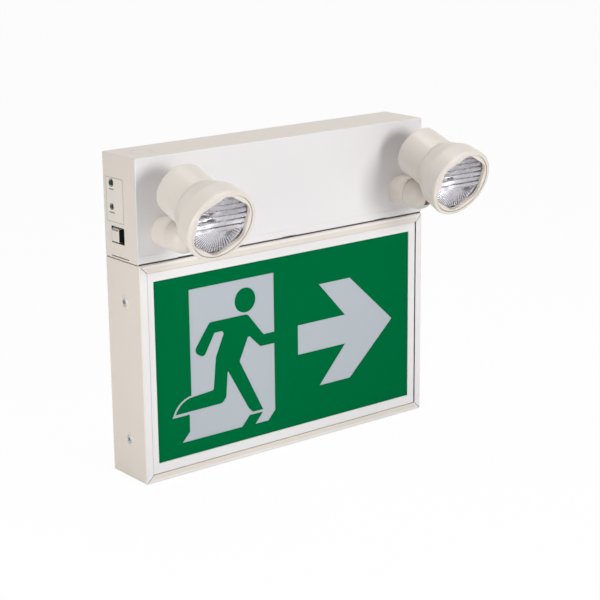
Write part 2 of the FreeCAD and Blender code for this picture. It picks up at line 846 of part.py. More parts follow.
def knuckle(x):
    """Swivel piece: spigot in the collar, half-ball end, and a slot in which the lamp's lug tilts."""
    shoulder = collar_end - seam_gap
    neck_end = cover_front + sheet + neck_length
    groove = neck_end + fit_gap
    spigot_end = groove + 2 * clip_width
    profile = [(pivot_y, 0, 0), (pivot_y, collar_radius, 0), (shoulder, collar_radius, collar_edge),
               (shoulder, spigot_radius, 0), (groove, spigot_radius, 0),
               (groove, spigot_radius - clip_groove, 0),
               (groove + clip_width, spigot_radius - clip_groove, 0),
               (groove + clip_width, spigot_radius, 0), (spigot_end, spigot_radius, 0), (spigot_end, 0, 0)]
    ball = Part.makeSphere(collar_radius, Vector(x, pivot_y, lamp_z), Vector(0, -1, 0), 0, 90, 360)
    body = turned(profile, x, lamp_z).fuse(ball)
    reach = collar_radius + 1
    wall = lug_thickness / 2 + fit_gap + 0.4
    well = lug_boss_radius + fit_gap
    corners = [(wall, reach), (wall, 0), (0, -well), (-reach, -slot_floor_drop), (-reach, reach),
               (wall, reach)]
    points = [Vector(x - slot_width / 2, pivot_y + y, lamp_z + z) for y, z in corners]
    slot = Part.Face(Part.makePolygon(points)).extrude(Vector(slot_width, 0, 0))
    slot = slot.fuse(rod_x(x - slot_width / 2, x + slot_width / 2, pivot_y, lamp_z, well))
    lead_way = rod_y(x, pivot_y, spigot_end + 1, lamp_z, spigot_bore)
    pin_hole = rod_x(x - collar_radius + pin_cover, x + collar_radius, pivot_y, lamp_z,
                     pin_radius + pin_seat_clearance)
    return body.cut([slot, lead_way, pin_hole]).removeSplitter()


def retaining_clip(x):
    """Open spring ring in the spigot's groove, behind the collar's neck."""
    y0 = cover_front + sheet + neck_length + fit_gap
    ring = rod_y(x, y0, y0 + clip_width, lamp_z, clip_radius)
    ring = ring.cut(rod_y(x, y0 - 1, y0 + clip_width + 1, lamp_z, spigot_radius - clip_groove))
    mouth = block(x - 3, x + 3, y0 - 1, y0 + clip_width + 1, lamp_z - clip_radius - 1, lamp_z)
    return ring.cut(mouth)


def tilt_pin(x):
    end = math.sqrt(collar_radius ** 2 - pin_radius ** 2) - fit_gap
    return rod_x(x - collar_radius + pin_cover, x + end, pivot_y, lamp_z, pin_radius)


# ---------------------------------------------------------------- lamp, in a frame with the pivot at 0
def lamp_turned(profile):
    """Solid of revolution about the lamp's axis. The profile is (distance behind rim, radius, round)."""
    shifted = [(station - pivot_station, radius, rounding) for station, radius, rounding in profile]
    return turned(shifted, 0, axis_rise)


def lamp_cup():
    """Rear shell, and the lug that hangs in the knuckle, bonded to the shell's underside."""
    start = bell_end + fit_gap
    taper = cup_front_radius - cup_radius
    back = cup_end - lamp_wall
    inner = cup_radius - lamp_wall
    profile = [(start, cup_front_radius - lamp_wall, 0), (start, cup_front_radius, 0),
               (start + 2 * taper, cup_radius, 3), (cup_end, cup_radius, cup_edge), (cup_end, 0, 0),
               (back, 0, 0), (back, inner, cup_edge - lamp_wall), (start + 2 * taper, inner, 0)]
    shell = lamp_turned(profile)
    half = lug_width / 2
    lug_top = axis_rise - cup_radius + lamp_wall / 2
    lug = block(-half, half, -lug_thickness / 2, lug_thickness / 2, 0, lug_top)
    lug = lug.fuse(rod_x(-half, half, 0, 0, lug_boss_radius))
    pin_hole = rod_x(-half - 1, half + 1, 0, 0, pin_radius + running_clearance)
    notch_y = start - pivot_station
    notch_low = axis_rise + cup_front_radius - notch_depth
    notch = block(-notch_width / 2, notch_width / 2, notch_y - 1, notch_y + notch_length,
                  notch_low, notch_low + 2 * notch_depth)
    lug = lug.cut([pin_hole, shell]).removeSplitter()
    return group([shell.cut(notch).removeSplitter(), lug])


def lamp_bell():
    """Front shell: rim with a seat for the lens, flare, and a neck that plugs into the cup."""
    plug = cup_radius - lamp_wall - fit_gap
    plug_end = bell_end + neck_overlap
    shelf = lens_seat + reflector_wall
    inner = bell_radius - lamp_wall
    profile = [(0, ring_outer_radius + rim_groove, 0), (0, rim_radius, rim_edge),
               (2 * rim_edge, bell_radius, 2), (bell_straight, bell_radius, 5),
               (bell_end, bell_end_radius, 1),
               (bell_end, plug, 0), (plug_end, plug, 0), (plug_end, plug - lamp_wall, 0),
               (bell_end - lamp_wall, plug - lamp_wall, 0), (bell_straight - lamp_wall, inner, 3),
               (shelf + lamp_wall, inner, 0), (shelf + lamp_wall, ring_outer_radius - shelf_width, 0),
               (shelf, ring_outer_radius - shelf_width, 0), (shelf, ring_outer_radius + rim_groove, 0)]
    return lamp_turned(profile)


def lens_ring():
    """Snap-in ring with a rounded six-sided opening over the lens."""
    start = ring_recess
    end = ring_recess + ring_thickness
    disc = lamp_turned([(start, 0, 0), (start, ring_outer_radius, ring_edge),
                        (end, ring_outer_radius, 0), (end, 0, 0)])
    corners = []
    for corner in range(6):
        turn = math.radians(90 + 60 * corner)
        across = opening_corner * math.cos(turn)
        up = opening_corner * math.sin(turn)
        corners.append((across, axis_rise + up, opening_round))
    return disc.cut(cut_from_sheet(corners, -pivot_station - 1, end + 2))


def lamp_lens():
    """Clear lens: level flutes on the rear of its upper part, and a fan of ribs on its lower part."""
    front = ring_recess + ring_thickness
    radius = ring_outer_radius
    apothem = opening_corner * math.cos(math.radians(30))
    lens = lamp_turned([(front - lens_rise, 0, 0), (front - lens_rise, apothem - opening_round, 0),
                        (front, apothem - fit_gap, 0), (front, radius, 0),
                        (lens_seat, radius, 0), (lens_seat, 0, 0)])
    flute_radius = (flute_pitch ** 2 / 4 + flute_depth ** 2) / (2 * flute_depth)
    axis_y = lens_seat - flute_depth + flute_radius - pivot_station
    tools = []
    row_low = -flute_drop
    while row_low + flute_pitch < reflector_mouth:
        z = row_low + flute_pitch / 2
        reach = max(abs(row_low), abs(row_low + flute_pitch))
        half_chord = math.sqrt(reflector_mouth ** 2 - reach ** 2)
        tools.append(rod_x(-half_chord, half_chord, axis_y, axis_rise + z, flute_radius))
        row_low += flute_pitch
    groove_y = lens_seat - pivot_station
    for rib in range(rib_count):
        turn = 180 + (rib + 1) * 180 / (rib_count + 1)
        start = flute_drop / max(abs(math.sin(math.radians(turn))), flute_drop / reflector_mouth)
        length = reflector_mouth - start - rib_depth
        if length < rib_depth:
            continue
        foot = Vector(start + rib_depth, groove_y, axis_rise)
        groove = Part.makeCylinder(rib_depth, length, foot, Vector(1, 0, 0))
        groove.rotate(Vector(0, groove_y, axis_rise), Vector(0, 1, 0), -turn)
        tools.append(groove)
    return lens.cut(tools).removeSplitter()


def parabola(vertex, square, stations):
    """Smooth edge on the paraboloid radius^2 = square * (vertex - station), in the lamp's frame."""
    curve = Part.BSplineCurve()
    curve.interpolate([Vector(0, station - pivot_station, axis_rise + math.sqrt(square * (vertex - station)))
                       for station in stations])
    return curve.toShape()


def reflector():
    """Paraboloid bowl with a flat flange that the lens clamps against the bell's shelf."""
    vertex = lens_seat + reflector_depth
    square = reflector_mouth ** 2 / reflector_depth
    shelf = lens_seat + reflector_wall
    steps = [(step / 6) ** 0.8 for step in range(7)]
    inner_end = vertex - reflector_hole ** 2 / square
    outer_end = inner_end + reflector_wall
    inner_stations = [lens_seat + (inner_end - lens_seat) * step for step in steps]
    outer_stations = [shelf + (outer_end - shelf) * step for step in steps]
    inside = parabola(vertex, square, inner_stations)
    outside = parabola(vertex + reflector_wall, square, outer_stations)

    def at(station, radius):
        return Vector(0, station - pivot_station, axis_rise + radius)

    rim = [at(lens_seat, reflector_mouth), at(lens_seat, ring_outer_radius), at(shelf, ring_outer_radius),
           at(shelf, reflector_mouth)]
    edges = [inside, outside, Part.makeLine(at(inner_end, reflector_hole), at(outer_end, reflector_hole))]
    edges += [Part.makeLine(rim[index], rim[index + 1]) for index in range(3)]
    face = Part.Face(Part.Wire(Part.__sortEdges__(edges)))
    return face.revolve(Vector(0, 0, axis_rise), Vector(0, 1, 0), 360)


def bulb():
    """Small capsule bulb on a round base."""
    vertex = lens_seat + reflector_depth
    start = vertex - bulb_length
    return lamp_turned([(start, 0, 0), (start, bulb_radius, bulb_radius * 0.9), (vertex, bulb_radius, 0),
                        (vertex, bulb_base_radius, 0), (vertex + bulb_base_length, bulb_base_radius, 0),
                        (vertex + bulb_base_length, 0, 0)])


def bulb_socket():
    """Socket behind the reflector, holding the bulb's base."""
    start = lens_seat + reflector_depth + reflector_wall
    end = start + socket_length
    floor = lens_seat + reflector_depth + bulb_base_length
    return lamp_turned([(start, bulb_base_radius, 0), (start, socket_radius, 0), (end, socket_radius, 1),
                        (end, 0, 0), (floor, 0, 0), (floor, bulb_base_radius, 0)])


def aimed(shape, x):
    """Tilts a lamp piece nose-down about the pivot and carries it to its knuckle."""
    placed = shape.copy()
    placed.rotate(Vector(0, 0, 0), Vector(1, 0, 0), lamp_tilt)
    placed.translate(Vector(x, pivot_y, lamp_z))
    return placed


# ---------------------------------------------------------------- all pieces
pieces = {
    "sign_housing": sign_housing(),
    "face_plate": face_plate(),
    "legend_film": legend_film(),
    "diffuser_panel": diffuser_panel(),
    "left_panel_rail": panel_rail(left_face, 1),
    "right_panel_rail": panel_rail(right_face, -1),
    "side_screws": side_screws(),
    "side_nuts": side_nuts(),
    "light_strips": light_strips(),
    "strip_leds": strip_leds(),
    "sign_driver": sign_driver(),
    "mains_terminal": mains_terminal(),
    "joining_screws": joining_screws(),
    "joining_nuts": joining_nuts(),
    "cable_grommet": cable_grommet(),
    "upper_housing": upper_housing(),
    "front_cover": front_cover(),
    "battery": battery(),
    "battery_strap": battery_strap(),
    "transformer": transformer(),
    "charger_board": charger_board(),
    "charger_components": charger_components(),
    "board_standoffs": board_standoffs(),
    "indicator_board": indicator_board(),
    "status_led": indicator(status_led_radius, status_led_drop),
    "charge_led": indicator(charge_led_radius, charge_led_drop),
    "indicator_label": indicator_label(),
    "test_switch_body": test_switch_body(),
    "test_button": test_button(),
}

mounting_pieces = {
    "collar": collar,
    "lock_nut": lock_nut,
    "knuckle": knuckle,
    "retaining_clip": retaining_clip,
    "tilt_pin": tilt_pin,
}

lamp_pieces = {
    "lamp_cup": lamp_cup(),
    "lamp_bell": lamp_bell(),
    "lens_ring": lens_ring(),
    "lamp_lens": lamp_lens(),
    "reflector": reflector(),
    "bulb": bulb(),
    "bulb_socket": bulb_socket(),
}

for side, centre in (("left", -lamp_x), ("right", lamp_x)):
    for name, make in mounting_pieces.items():
        pieces[side + "_" + name] = make(centre)
    for name, shape in lamp_pieces.items():
        pieces[side + "_" + name] = aimed(shape, centre)

os.makedirs("parts", exist_ok=True)
for name, shape in pieces.items():
    shape.exportStep("parts/" + name + ".step")
    print(name, "solids", len(shape.Solids), "valid", shape.isValid(), "volume", round(shape.Volume, 1))
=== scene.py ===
# %% [markdown]
# # Emergency exit light, dressed for the studio
# The light is a folded sheet-steel sign box with a green exit legend, a battery box above it and two
# plastic lamp heads on swivelling knuckles. The solids already give every size and place. This lesson
# loads them as a fixed frame, gives each piece its finish, and remakes the turned lamp pieces as smooth
# surfaces, because their lenses and reflectors need finer facets than a working solid does. The thin
# trim that the solids leave out, the lights and the camera come last.

# %% Load the frame
from collections import namedtuple
import json
import bmesh
import bpy
import numpy as np
from mathutils import Matrix, Vector


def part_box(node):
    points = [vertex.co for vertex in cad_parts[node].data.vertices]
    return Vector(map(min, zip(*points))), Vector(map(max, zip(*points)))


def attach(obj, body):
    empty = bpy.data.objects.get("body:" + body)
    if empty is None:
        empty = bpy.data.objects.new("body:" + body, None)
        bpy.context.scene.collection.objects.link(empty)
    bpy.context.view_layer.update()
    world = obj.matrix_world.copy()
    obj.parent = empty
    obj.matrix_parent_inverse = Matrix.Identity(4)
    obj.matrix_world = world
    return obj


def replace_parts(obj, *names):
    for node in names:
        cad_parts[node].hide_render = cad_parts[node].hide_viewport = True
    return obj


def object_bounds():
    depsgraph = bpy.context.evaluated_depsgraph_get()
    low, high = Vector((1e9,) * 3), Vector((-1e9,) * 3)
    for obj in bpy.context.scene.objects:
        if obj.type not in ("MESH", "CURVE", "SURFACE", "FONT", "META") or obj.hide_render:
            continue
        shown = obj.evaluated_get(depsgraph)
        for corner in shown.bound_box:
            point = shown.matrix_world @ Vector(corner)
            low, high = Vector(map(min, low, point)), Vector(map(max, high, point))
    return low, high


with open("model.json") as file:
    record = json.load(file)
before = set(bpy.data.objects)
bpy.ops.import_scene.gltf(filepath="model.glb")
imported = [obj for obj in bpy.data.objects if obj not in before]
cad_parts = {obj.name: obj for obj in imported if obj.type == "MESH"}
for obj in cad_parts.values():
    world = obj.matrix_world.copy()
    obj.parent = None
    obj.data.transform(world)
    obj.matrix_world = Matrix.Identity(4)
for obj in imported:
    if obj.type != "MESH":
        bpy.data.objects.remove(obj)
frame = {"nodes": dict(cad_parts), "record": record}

MM = 0.001
cad_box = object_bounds()
nodes = frame["nodes"]

# %% [markdown]
# ## Colours
# A colour is picked as a screen shows it, in steps from 0 to 255, but a shader counts light, and equal
# steps on a screen aren't equal amounts of light. `linear` turns the one into the other. No real surface
# has quite one colour, so each finish of the light drifts between its colour and a `dimmed` copy of it.

# %% Colours
def linear(red, green, blue):
    """Light in a screen colour. For a channel c from 0 to 1 it is ((c + 0.055) / 1.055) ** 2.4, and
    c / 12.92 where c is close to black."""
    channels = np.array([red, green, blue]) / 255
    near_black = channels / 12.92
    lighter = ((channels + 0.055) / 1.055) ** 2.4
    return tuple(np.where(channels <= 0.04045, near_black, lighter)) + (1.0,)


def dimmed(colour, share):
    """The colour at a share of its light."""
    return tuple(share * channel for channel in colour[:3]) + (1.0,)


print("a screen's middle grey is", round(float(linear(128, 128, 128)[0]), 3), "of full light")

# %% [markdown]
# ## A small language for shader maths
# Every finish below is worked out from a few noise patterns. Placing Math nodes one at a time hides the
# formula, so `Signal` wraps a socket and overloads the operators: `0.36 + 0.08 * drift` then adds its own
# nodes. The reflected forms matter, since Python calls them when the plain number stands on the left.

# %% Signal
class Signal:
    """A number that changes over a surface; each operator adds one Math node."""

    def __init__(self, shading, socket):
        self.shading = shading
        self.socket = socket

    def _math(self, operation, other):
        return self.shading.node("ShaderNodeMath", {"operation": operation}, {0: self, 1: other})

    def __add__(self, other):
        return self._math("ADD", other)

    __radd__ = __add__

    def __mul__(self, other):
        return self._math("MULTIPLY", other)

    __rmul__ = __mul__


# %% [markdown]
# ## One method for every node
# A node is its type, its settings, and the values or links of its sockets. The settings come first,
# because they decide which sockets exist. With one method for all of that, the finishes of the pieces and
# the sky behind them read alike.

# %% Shading
class Shading:
    """A node tree, and the one method that adds to it."""

    def __init__(self, tree):
        self.tree = tree

    def node(self, kind, settings, inputs, output=0):
        """Adds a node of this kind and returns one of its outputs as a Signal."""
        made = self.tree.nodes.new(kind)
        for setting, value in settings.items():
            setattr(made, setting, value)
        for socket, value in inputs.items():
            if isinstance(value, Signal):
                self.tree.links.new(value.socket, made.inputs[socket])
            else:
                made.inputs[socket].default_value = value
        return Signal(self, made.outputs[output])


# %% [markdown]
# ## One class for a finish
# A finish is a Principled shader whose constant values sit on the shader's own sockets, while what varies
# over the surface arrives through nodes. Patterns read Object coordinates, so a grain has the same size on
# every piece and stays put when a piece moves. The plain materials that the solids come with are removed
# first, so that each finish can have the name of the slot that it dresses.

# %% Finish
MIX_FACTOR, MIX_FIRST, MIX_SECOND, MIX_RESULT = 0, 6, 7, 2
finishes = {}
for plain in list(bpy.data.materials):
    bpy.data.materials.remove(plain)


def socket_name(word):
    """Blender's name for a socket: base_color becomes Base Color, and ior becomes IOR."""
    return word.replace("_", " ").title().replace("Ior", "IOR")


class Finish(Shading):
    """A named Principled material with short methods for the patterns that its pieces need."""

    def __init__(self, name, **constants):
        self.material = bpy.data.materials.new(name)
        self.material.use_nodes = True
        super().__init__(self.material.node_tree)
        self.shader = self.tree.nodes["Principled BSDF"]
        for word, value in constants.items():
            self.shader.inputs[socket_name(word)].default_value = value
        self.place = self.node("ShaderNodeTexCoord", {}, {}, "Object")
        finishes[name] = self.material

    def noise(self, scale, detail=2.0):
        """Soft random pattern from 0 to 1; scale is cells per metre."""
        return self.node("ShaderNodeTexNoise", {}, {"Vector": self.place, "Scale": scale, "Detail": detail},
                         "Fac")

    def mix(self, amount, first, second):
        """Colour between first and second."""
        return self.node("ShaderNodeMix", {"data_type": "RGBA"},
                         {MIX_FACTOR: amount, MIX_FIRST: first, MIX_SECOND: second}, MIX_RESULT)

    def bump(self, height, depth):
        """Normal that follows a height pattern; depth is what its full range stands for, in metres."""
        return self.node("ShaderNodeBump", {}, {"Height": height, "Distance": depth}, "Normal")

    def feed(self, **links):
        """Links patterns to the shader's sockets."""
        for word, signal in links.items():
            self.tree.links.new(signal.socket, self.shader.inputs[socket_name(word)])


# %% [markdown]
# ## Powder-coated steel
# Both boxes are sprayed with powder that melts into a skin. It is nearly even in colour, and slightly
# wavy like orange peel. Two noises at very different scales give this: a broad one moves the colour and
# the dullness a little, and a fine one lifts the bump. The housings are cream, and the cover and the face
# plate white.

# %% Painted steel
def powder_coat(name, colour, roughness):
    """Sprayed skin: colour and dullness drift slowly, and the surface is finely wavy."""
    finish = Finish(name, ior=1.5)
    drift = finish.noise(9.0, detail=3.0)
    peel = finish.noise(1100.0, detail=1.0)
    finish.feed(base_color=finish.mix(drift, dimmed(colour, 0.955), colour),
                roughness=roughness + 0.08 * drift,
                normal=finish.bump(peel, 0.02 * MM))


powder_coat("cream_paint", linear(222, 213, 203), 0.36)
powder_coat("white_paint", linear(229, 226, 227), 0.33)
print("painted finishes:", list(finishes))

# %% [markdown]
# ## Moulded plastics
# The heads are moulded in a tinted plastic with a fine satin grain from the tool. The same recipe serves
# the black switch body, the pale label, the battery case and the boards; only colour, dullness and grain
# change, so one function makes them all.

# %% Plastics and rubbers
def moulded(name, colour, roughness, grain=1600.0, depth=0.01 * MM, fade=0.06, gloss=0.5):
    """Moulding: nearly even colour, with grains per metre of a depth in metres. Fade is how far the
    colour drifts, and gloss is the share of mirrored light, where 0.5 is ordinary plastic."""
    finish = Finish(name, ior=1.49, specular_ior_level=gloss)
    drift = finish.noise(14.0)
    texture = finish.noise(grain, detail=1.0)
    finish.feed(base_color=finish.mix(drift, dimmed(colour, 1 - fade), colour),
                roughness=roughness + 0.06 * drift,
                normal=finish.bump(texture, depth))


moulded("cream_plastic", linear(221, 213, 204), 0.3)
moulded("black_plastic", linear(26, 28, 28), 0.35)
moulded("label_cream", linear(224, 216, 207), 0.42, grain=700.0, depth=0.004 * MM, fade=0.03)
moulded("battery_case", linear(70, 73, 78), 0.45)
moulded("rubber_black", linear(30, 30, 30), 0.7, grain=500.0, depth=0.03 * MM)
moulded("board_green", linear(30, 96, 58), 0.35, grain=300.0, fade=0.2)
moulded("led_chip", linear(236, 230, 190), 0.3)
print("finishes with the plastics:", len(finishes))

# %% [markdown]
# ## Legend film and diffuser
# The legend is a green film with the running man and the arrow left open, lying on an opal sheet. The
# film is very even and mirrors nothing, which keeps its green deep. The opal sheet shows through the
# openings, cooler and darker than the paint: a grey-blue white with a soft sheen.

# %% Film and opal
moulded("green_film", linear(0, 104, 58), 0.5, grain=240.0, depth=0.002 * MM, fade=0.05, gloss=0.0)
moulded("white_diffuser", linear(178, 184, 191), 0.4, grain=300.0, depth=0.003 * MM, fade=0.03, gloss=0.2)
print("legend finishes:", list(finishes)[-2:])

# %% [markdown]
# ## Metals
# Nuts and screw heads are zinc plated: bright steel with faint spangle. The transformer core is dull
# laminated steel. The lamp bowls are plastic with a bright skin laid on in vacuum. Here that skin is a
# soft and slightly wavy mirror, which spreads the light that the bowl catches.

# %% Plated and mirrored metal
def metal(name, colour, roughness, grain, depth):
    """Metal: a grain noise moves the colour and the dullness, and lifts a shallow bump."""
    finish = Finish(name, metallic=1.0)
    grains = finish.noise(grain)
    finish.feed(base_color=finish.mix(grains, dimmed(colour, 0.85), colour),
                roughness=roughness + 0.12 * grains,
                normal=finish.bump(grains, depth))


metal("zinc_steel", linear(205, 206, 208), 0.26, grain=900.0, depth=0.01 * MM)
metal("core_steel", linear(120, 120, 124), 0.5, grain=700.0, depth=0.02 * MM)
metal("mirror_bowl", linear(250, 247, 251), 0.26, grain=60.0, depth=0.04 * MM)
print("metal finishes:", list(finishes)[-3:])

# %% [markdown]
# ## Clear and tinted pieces
# The lenses and the bulbs are clear. Transmission with a refractive index of 1.49 bends the light as
# acrylic does, and the flutes that are modelled on the lens then draw their own bright and dark bands. A
# ripple in its normal breaks the bands into glints. The indicator lights are domes that look nearly black
# when off, so deep opaque colours with little gloss do for them.

# %% Clear plastics
def clear(name, colour, roughness, index, ripple):
    """See-through piece: a broad noise moves the tint and the polish, and a fine one ripples the surface
    by a depth in metres."""
    finish = Finish(name, ior=index, transmission_weight=1.0)
    polish = finish.noise(40.0)
    wave = finish.noise(520.0, detail=3.0)
    finish.feed(base_color=finish.mix(polish, dimmed(colour, 0.98), colour),
                roughness=roughness + 0.02 * polish,
                normal=finish.bump(wave, ripple))


clear("clear_lens", linear(250, 250, 252), 0.02, index=1.49, ripple=0.2 * MM)
clear("bulb_glass", linear(250, 250, 250), 0.0, index=1.5, ripple=0.002 * MM)
moulded("led_green", linear(16, 58, 36), 0.3, grain=900.0, depth=0.002 * MM, gloss=0.15)
moulded("led_amber", linear(80, 62, 52), 0.3, grain=900.0, depth=0.002 * MM, gloss=0.15)
print("clear and tinted finishes:", list(finishes)[-4:])

# %% [markdown]
# ## Hand the finishes out
# Each solid names the material slot of its real material in its record. Giving the slots the finishes of
# the same names dresses all of the pieces at once, inside and out, so nothing is left plain when a lamp
# turns or a shell is taken off.

# %% Finish for every piece
slot_of = {row["node"]: row["material_slot"] for row in frame["record"]["subparts"]}


def dress(piece, finish_name):
    """The piece wears one finish."""
    piece.data.materials.clear()
    piece.data.materials.append(finishes[finish_name])


for name, solid in nodes.items():
    dress(solid, slot_of[name])
print({slot: list(slot_of.values()).count(slot) for slot in sorted(set(slot_of.values()))})

# %% [markdown]
# ## Smooth skins over the pressed and moulded pieces
# The frame's meshes are loose triangles, so light breaks at every facet of a bend. A copy whose doubles
# are merged can share normals across its facets: bends and domes then shade as one curve, while edges
# sharper than about thirty degrees stay crisp. Weighted normals let each large flat face keep its own
# direction, so a bend beside it doesn't shade it. On the back of the housings that still left uneven
# shading, so they share normals only below ten degrees. The copy stands for its solid, in the same place.

# %% Smooth copies
SHARP = 32.0
HOUSING_SHARP = 10.0
LARGE_FACES_LEAD = 100
HOUSINGS = ["sign_housing", "upper_housing"]
BENT = ["front_cover", "face_plate", "side_screws", "status_led", "charge_led", "test_button",
        "test_switch_body", "cable_grommet", "indicator_label"]
body_of = {member: body for body, members in frame["record"]["behaviour"]["bodies"].items()
           for member in members}


def present(name, mesh, finish_name, body, sharp_degrees):
    """Makes a mesh a piece of the scene: smooth up to the sharp angle, dressed, and riding on a body."""
    mesh.shade_smooth()
    mesh.set_sharp_from_angle(angle=np.radians(sharp_degrees))
    piece = bpy.data.objects.new(name, mesh)
    bpy.context.scene.collection.objects.link(piece)
    dress(piece, finish_name)
    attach(piece, body)
    return piece


def polished(name, sharp_degrees=SHARP):
    """A merged, smooth-shaded copy of a solid, which replaces it."""
    mesh = nodes[name].data.copy()
    mesh.name = f"{name}_skin"
    work = bmesh.new()
    work.from_mesh(mesh)
    bmesh.ops.remove_doubles(work, verts=work.verts, dist=0.001 * MM)
    work.to_mesh(mesh)
    work.free()
    piece = present(f"{name}_skin", mesh, slot_of[name], body_of[name], sharp_degrees)
    flats = piece.modifiers.new("flat faces lead", "WEIGHTED_NORMAL")
    flats.keep_sharp = True
    flats.weight = LARGE_FACES_LEAD
    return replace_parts(piece, name)


copies = [polished(name, HOUSING_SHARP) for name in HOUSINGS] + [polished(name) for name in BENT]
print("smooth copies:", len(copies))

# %% [markdown]
# ## Where a lamp points
# Each head is turned round its own axis, which is tilted at rest. The lens ring is a flat disc, so the
# direction in which its points vary least is that axis. From it follow a lamp's own directions: across,
# to the right, then back along the axis, and up. Every lamp piece below is worked out in them, and
# `reach` reads from the solids how far each one extends.

# %% Lamp axes
Reach = namedtuple("Reach", "front back radius")


class Lamp:
    """One lamp's own directions (across, back and up) and the centre of its rim."""

    def __init__(self, side):
        self.side = side
        ring = self.points("lens_ring")
        centred = ring - (ring.max(0) + ring.min(0)) / 2
        thin = np.linalg.svd(centred, full_matrices=False)[2][2] * (0, 1, 1)
        across = np.array([1.0, 0.0, 0.0])
        back = thin * np.sign(thin[1]) / np.linalg.norm(thin)
        self.axes = np.stack([across, back, np.cross(across, back)])
        seen = ring @ self.axes.T
        middle = (seen.max(0) + seen.min(0)) / 2
        middle[1] = (self.points("lamp_bell") @ back).min()
        self.rim_centre = middle @ self.axes

    def points(self, piece):
        """The solid's vertices, in metres."""
        mesh = nodes[f"{self.side}_{piece}"].data
        flat = np.empty(len(mesh.vertices) * 3)
        mesh.vertices.foreach_get("co", flat)
        return flat.reshape(-1, 3)

    def reach(self, piece):
        """How far behind the rim a solid starts and ends, and its largest radius, in millimetres."""
        across, back, up = ((self.points(piece) - self.rim_centre) @ self.axes.T / MM).T
        return Reach(back.min(), back.max(), np.hypot(across, up).max())

    def around(self, station, radius, angle):
        """Points behind the rim and out from the axis by millimetres. At angle a from the top, a point of
        radius r lies r sin a to the right and r cos a up."""
        across, up = radius * np.sin(angle), radius * np.cos(angle)
        local = np.stack(np.broadcast_arrays(across, station, up), axis=-1)
        return self.rim_centre + local * MM @ self.axes


lamps = {side: Lamp(side) for side in ("left", "right")}
for side, lamp in lamps.items():
    tilt = np.degrees(np.arcsin(lamp.axes[1, 2]))
    print(side, "tilt", round(float(tilt), 1), "bell", np.round(lamp.reach("lamp_bell"), 2))

# %% [markdown]
# ## Profiles with rounded corners
# A turned piece is a profile swept round an axis. A Bevel modifier could round its edges afterwards, but
# here each corner has a radius of its own, so the profile is a short list of corners with a radius for
# each, and the rounding is an arc between the two points where it leaves the straight runs.

# %% Rounded profiles
ARC_STEPS = 6


def rounded(corners):
    """Closed profile from corners (station, radius, round).

    An arc of radius q at a corner of half angle h has its centre q / sin(h) along the bisector and
    leaves the straight runs q / tan(h) from the corner.
    """
    spots = np.array([corner[:2] for corner in corners], float)
    path = []
    for index, corner in enumerate(spots):
        turn = corners[index][2]
        if turn == 0:
            path.append(corner[None])
            continue
        before = spots[index - 1] - corner
        after = spots[(index + 1) % len(spots)] - corner
        before /= np.linalg.norm(before)
        after /= np.linalg.norm(after)
        half = np.arccos(np.clip(before @ after, -1, 1)) / 2
        middle = (before + after) / np.linalg.norm(before + after)
        centre = corner + middle * turn / np.sin(half)
        start = (corner + before * turn / np.tan(half) - centre) / turn
        end = (corner + after * turn / np.tan(half) - centre) / turn
        sweep = np.arccos(np.clip(start @ end, -1, 1))
        share = np.linspace(0, 1, ARC_STEPS + 1)[:, None]
        arc = (np.sin((1 - share) * sweep) * start + np.sin(share * sweep) * end) / np.sin(sweep)
        path.append(centre + turn * arc)
    return np.concatenate(path)


print("a square with round corners has", len(rounded([(0, 0, 1), (0, 9, 1), (9, 9, 1), (9, 0, 1)])), "points")

# %% [markdown]
# ## From a grid to a skin
# Every remade piece is a grid of points, and the faces follow from the grid. At a pole a whole row falls
# on one point, so points that coincide are merged before the mesh exists. The sign of the enclosed
# volume tells whether the faces point out or in.

# %% Skin over a grid
MERGE_DECIMALS = 8


def stitched(index):
    """Quads and triangles over a grid of point numbers. A quad joins a point to its next neighbours. With
    one pair of neighbouring corners on one point it is a triangle, and with more it is left out."""
    quads = np.stack([index[:-1, :-1], index[1:, :-1], index[1:, 1:], index[:-1, 1:]], -1).reshape(-1, 4)
    same = quads == np.roll(quads, -1, axis=1)
    lost = same.sum(1)
    triangles = quads[lost == 1][~same[lost == 1]].reshape(-1, 3)
    return quads[lost == 0], triangles


def enclosed(points, quads, triangles):
    """Signed volume: the sum of a . (b x c) / 6 over all triangles a, b, c, seen from the middle."""
    fans = np.vstack([quads[:, [0, 1, 2]], quads[:, [0, 2, 3]], triangles])
    corner = points[fans] - points.mean(0)
    return np.einsum("ij,ij->", corner[:, 0], np.cross(corner[:, 1], corner[:, 2])) / 6


def skin(name, grid, finish_name, body, sharp_degrees=SHARP, close_rows=True):
    """Piece over a grid of points (rows, columns, 3). The columns close into a loop. So do the rows, unless
    close_rows is off because the first and the last row are a point each. Its faces point outwards."""
    points, index = np.unique(np.round(grid.reshape(-1, 3), MERGE_DECIMALS), axis=0, return_inverse=True)
    index = np.pad(index.reshape(grid.shape[:2]), ((0, int(close_rows)), (0, 1)), mode="wrap")
    quads, triangles = stitched(index)
    step = 1 if enclosed(points, quads, triangles) > 0 else -1
    mesh = bpy.data.meshes.new(name)
    mesh.from_pydata(points.tolist(), [], quads[:, ::step].tolist() + triangles[:, ::step].tolist())
    return present(name, mesh, finish_name, body, sharp_degrees)


def circle(count):
    """Angles once round, in equal steps."""
    return np.linspace(0, 2 * np.pi, count, endpoint=False)


print("first steps of 360 round:", np.round(np.degrees(circle(360)[:3]), 2), "degrees")

# %% [markdown]
# ## Lamp bells
# The bell is the front shell of a head: a nearly straight rim, then a soft shoulder down to a neck that
# plugs into the cup. It is moulded with a wall of two millimetres. A Solidify modifier could give the
# wall, but the step that seats the lens ring is on the inside only, so the profile itself runs down the
# outside and back up the inside.

